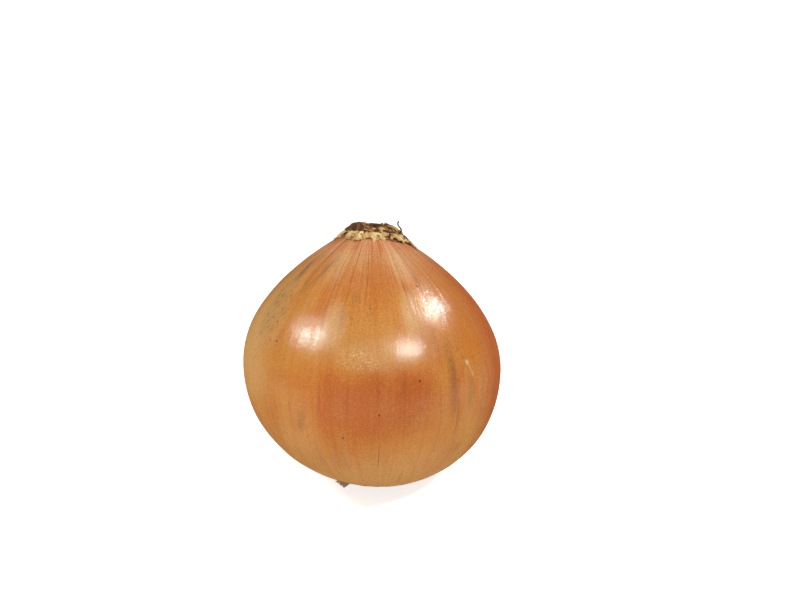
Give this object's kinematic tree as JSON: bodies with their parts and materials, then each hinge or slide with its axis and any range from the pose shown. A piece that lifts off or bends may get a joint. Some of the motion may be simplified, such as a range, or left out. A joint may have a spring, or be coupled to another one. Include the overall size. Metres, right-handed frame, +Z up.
{
  "type": "onion",
  "caption": "Round dry yellow onion standing root end up, with a mat of dry roots in torn skin on top and its dry neck folded flat beneath.",
  "frame": {"origin": "on the table, under the middle of the whole onion's bounding box", "axes": "+Z up from the table to the roots, +X to the right and +Y to the back as the onion faces the viewer; it leans 12 degrees back and 3 degrees right"},
  "size_m": [0.0838, 0.0836, 0.0848],
  "materials": {
    "onion_skin": "satin papery skin, copper and ochre, finely lined from end to end",
    "torn_skin": "dry torn skin, cream with ochre and green tints",
    "dry_roots": "dull dry strands, dark brown with olive and cream lights",
    "neck_paper": "dull dry paper, grey tan"
  },
  "bodies": {
    "root": {"bulb": "onion_skin", "torn_skin": "torn_skin", "root_mat": "dry_roots", "dry_neck": "neck_paper"}
  },
  "joints": []
}
